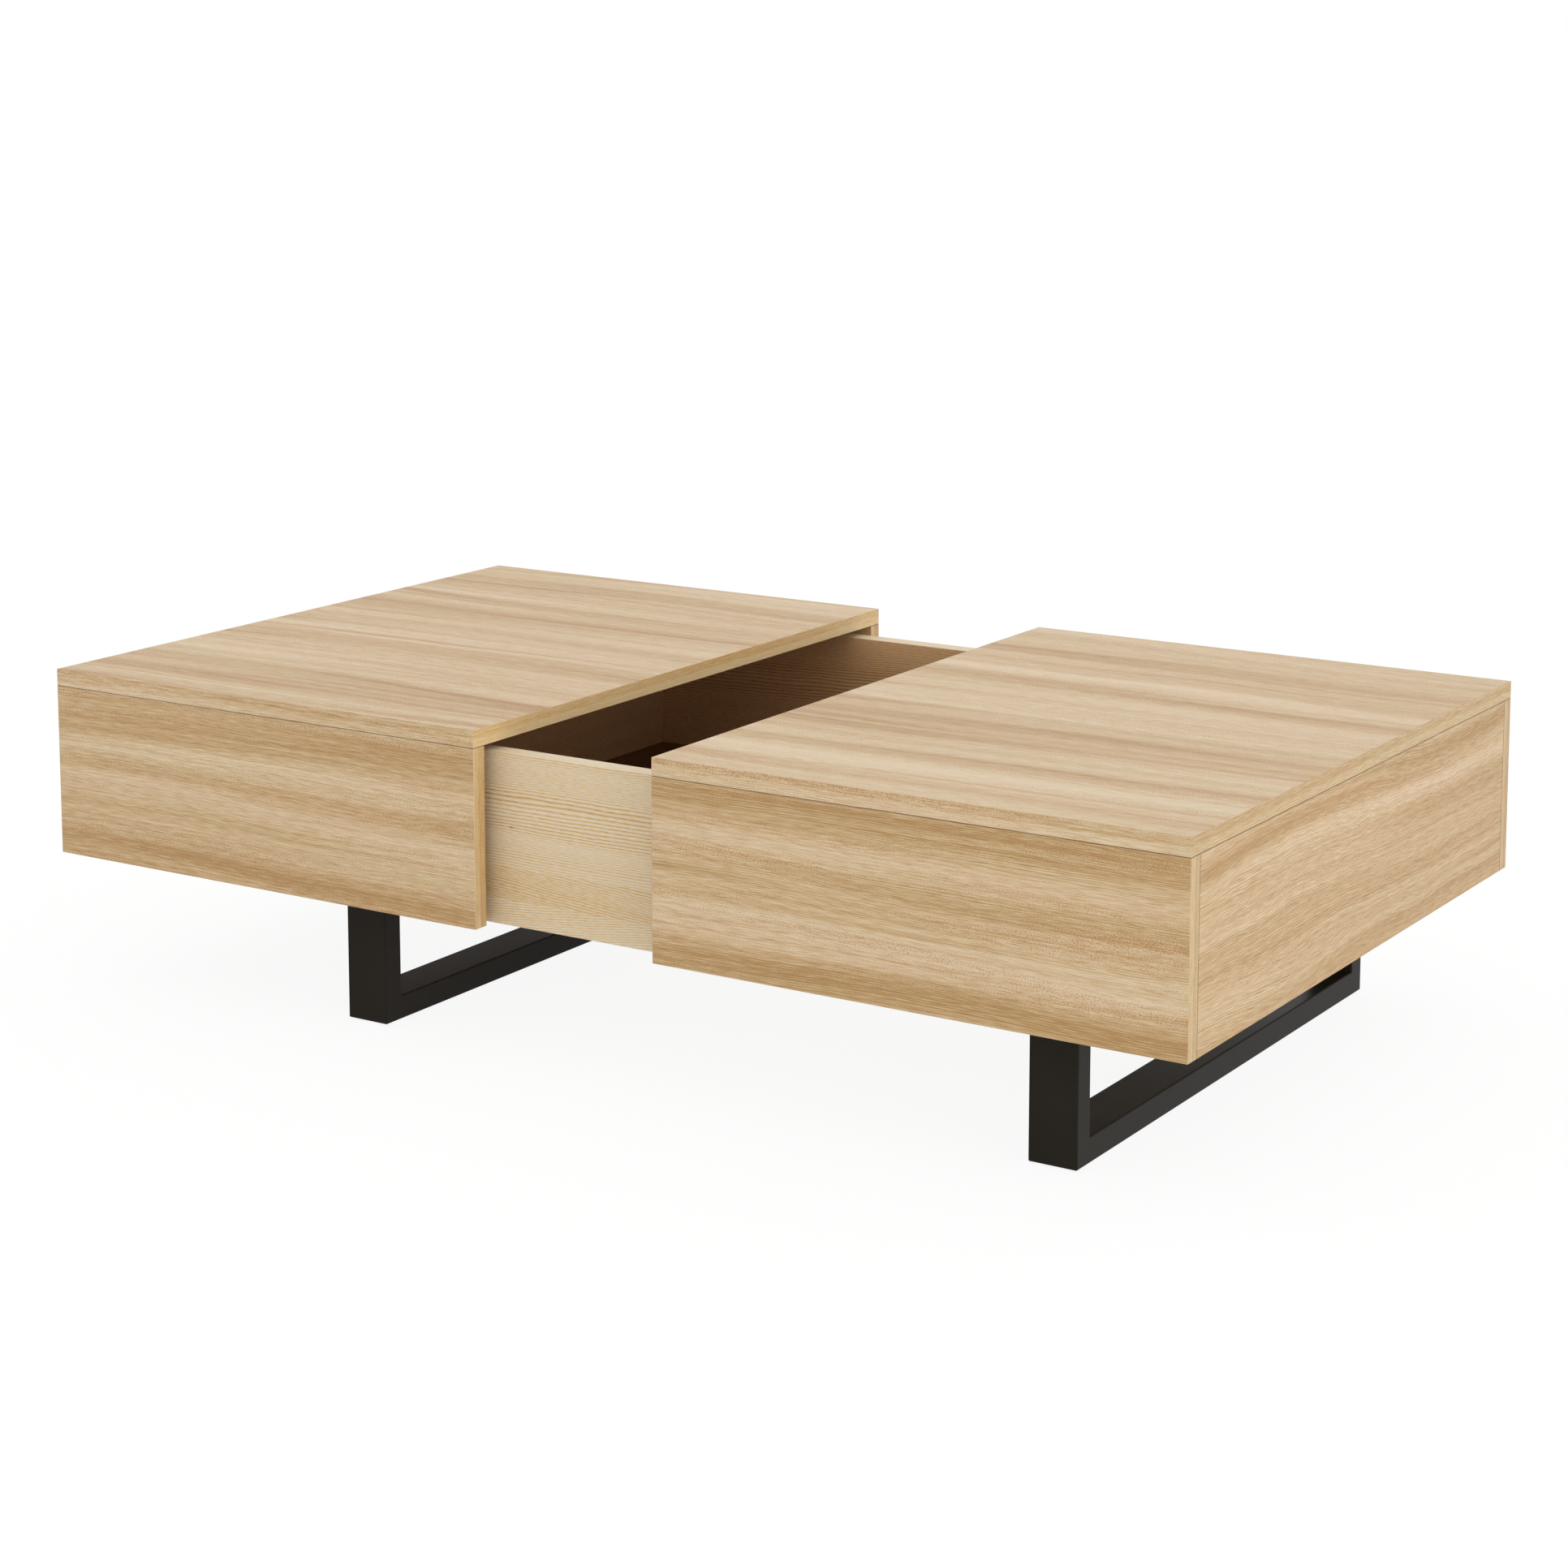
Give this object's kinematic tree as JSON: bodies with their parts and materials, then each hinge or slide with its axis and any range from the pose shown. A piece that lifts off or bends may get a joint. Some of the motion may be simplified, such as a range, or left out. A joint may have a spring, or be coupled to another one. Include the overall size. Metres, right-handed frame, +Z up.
{
  "type": "sliding top coffee table",
  "caption": "Low coffee table whose two wooden halves slide apart on ball-bearing slides along a fixed storage box with steel sled legs.",
  "frame": {"origin": "on the floor, at the middle of the table's length and depth as drawn, with the left half part open", "axes": "+X along the table to its right end, +Y from the front to the rear, +Z up"},
  "size_m": [1.327, 0.77, 0.342],
  "materials": {
    "oak_laminate": "satin laminate with a light oak grain",
    "pine_board": "satin lacquered solid pine",
    "black_steel": "satin black powder coat",
    "slide_steel": "bright zinc plated",
    "zinc_fastener": "zinc plated",
    "steel_ball": "polished",
    "ball_cage": "plain stamped strip",
    "beech_dowel": "plain fluted beech",
    "felt_pad": "dark pressed felt"
  },
  "bodies": {
    "box_and_legs": {"box_front_wall": "pine_board", "box_rear_wall": "pine_board", "box_left_end_wall": "pine_board", "box_right_end_wall": "pine_board", "box_bottom_panel": "pine_board", "box_screws": "zinc_fastener", "box_dowels": "beech_dowel", "left_leg_front_post": "black_steel", "left_leg_rear_post": "black_steel", "left_leg_foot_bar": "black_steel", "left_leg_top_bar": "black_steel", "left_leg_screws": "zinc_fastener", "left_foot_pads": "felt_pad", "left_box_rail_screws": "zinc_fastener", "left_front_slide_outer_rail": "slide_steel", "left_rear_slide_outer_rail": "slide_steel", "right_leg_front_post": "black_steel", "right_leg_rear_post": "black_steel", "right_leg_foot_bar": "black_steel", "right_leg_top_bar": "black_steel", "right_leg_screws": "zinc_fastener", "right_foot_pads": "felt_pad", "right_box_rail_screws": "zinc_fastener", "right_front_slide_outer_rail": "slide_steel", "right_rear_slide_outer_rail": "slide_steel"},
    "left_half": {"left_top_panel": "oak_laminate", "left_front_panel": "oak_laminate", "left_rear_panel": "oak_laminate", "left_end_panel": "oak_laminate", "left_cam_locks": "zinc_fastener", "left_cam_bolts": "zinc_fastener", "left_dowels": "beech_dowel", "left_sleeve_rail_screws": "zinc_fastener", "left_front_slide_inner_rail": "slide_steel", "left_rear_slide_inner_rail": "slide_steel"},
    "left_middle_rails": {"left_front_slide_middle_rail": "slide_steel", "left_rear_slide_middle_rail": "slide_steel"},
    "left_outer_ball_cages": {"left_outer_ball_cages": "ball_cage", "left_outer_balls": "steel_ball"},
    "left_inner_ball_cages": {"left_inner_ball_cages": "ball_cage", "left_inner_balls": "steel_ball"},
    "right_half": {"right_top_panel": "oak_laminate", "right_front_panel": "oak_laminate", "right_rear_panel": "oak_laminate", "right_end_panel": "oak_laminate", "right_cam_locks": "zinc_fastener", "right_cam_bolts": "zinc_fastener", "right_dowels": "beech_dowel", "right_sleeve_rail_screws": "zinc_fastener", "right_front_slide_inner_rail": "slide_steel", "right_rear_slide_inner_rail": "slide_steel"},
    "right_middle_rails": {"right_front_slide_middle_rail": "slide_steel", "right_rear_slide_middle_rail": "slide_steel"},
    "right_outer_ball_cages": {"right_outer_ball_cages": "ball_cage", "right_outer_balls": "steel_ball"},
    "right_inner_ball_cages": {"right_inner_ball_cages": "ball_cage", "right_inner_balls": "steel_ball"}
  },
  "joints": [
    {"name": "left_slide", "type": "slide", "parent": "box_and_legs", "child": "left_half", "axis": [-1, 0, 0], "range_m": [-0.21, 0.04]},
    {"name": "left_middle_rails_run", "type": "slide", "parent": "box_and_legs", "child": "left_middle_rails", "axis": [-1, 0, 0], "range_m": [-0.105, 0.02]},
    {"name": "left_outer_ball_cages_run", "type": "slide", "parent": "box_and_legs", "child": "left_outer_ball_cages", "axis": [-1, 0, 0], "range_m": [-0.0525, 0.01]},
    {"name": "left_inner_ball_cages_run", "type": "slide", "parent": "box_and_legs", "child": "left_inner_ball_cages", "axis": [-1, 0, 0], "range_m": [-0.1575, 0.03]},
    {"name": "right_slide", "type": "slide", "parent": "box_and_legs", "child": "right_half", "axis": [1, 0, 0], "range_m": [0, 0.25]},
    {"name": "right_middle_rails_run", "type": "slide", "parent": "box_and_legs", "child": "right_middle_rails", "axis": [1, 0, 0], "range_m": [0, 0.125]},
    {"name": "right_outer_ball_cages_run", "type": "slide", "parent": "box_and_legs", "child": "right_outer_ball_cages", "axis": [1, 0, 0], "range_m": [0, 0.0625]},
    {"name": "right_inner_ball_cages_run", "type": "slide", "parent": "box_and_legs", "child": "right_inner_ball_cages", "axis": [1, 0, 0], "range_m": [0, 0.1875]}
  ],
  "couplings": [
    {"joint": "left_middle_rails_run", "follows": "left_slide", "ratio": 0.5},
    {"joint": "left_outer_ball_cages_run", "follows": "left_slide", "ratio": 0.25},
    {"joint": "left_inner_ball_cages_run", "follows": "left_slide", "ratio": 0.75},
    {"joint": "right_middle_rails_run", "follows": "right_slide", "ratio": 0.5},
    {"joint": "right_outer_ball_cages_run", "follows": "right_slide", "ratio": 0.25},
    {"joint": "right_inner_ball_cages_run", "follows": "right_slide", "ratio": 0.75}
  ]
}
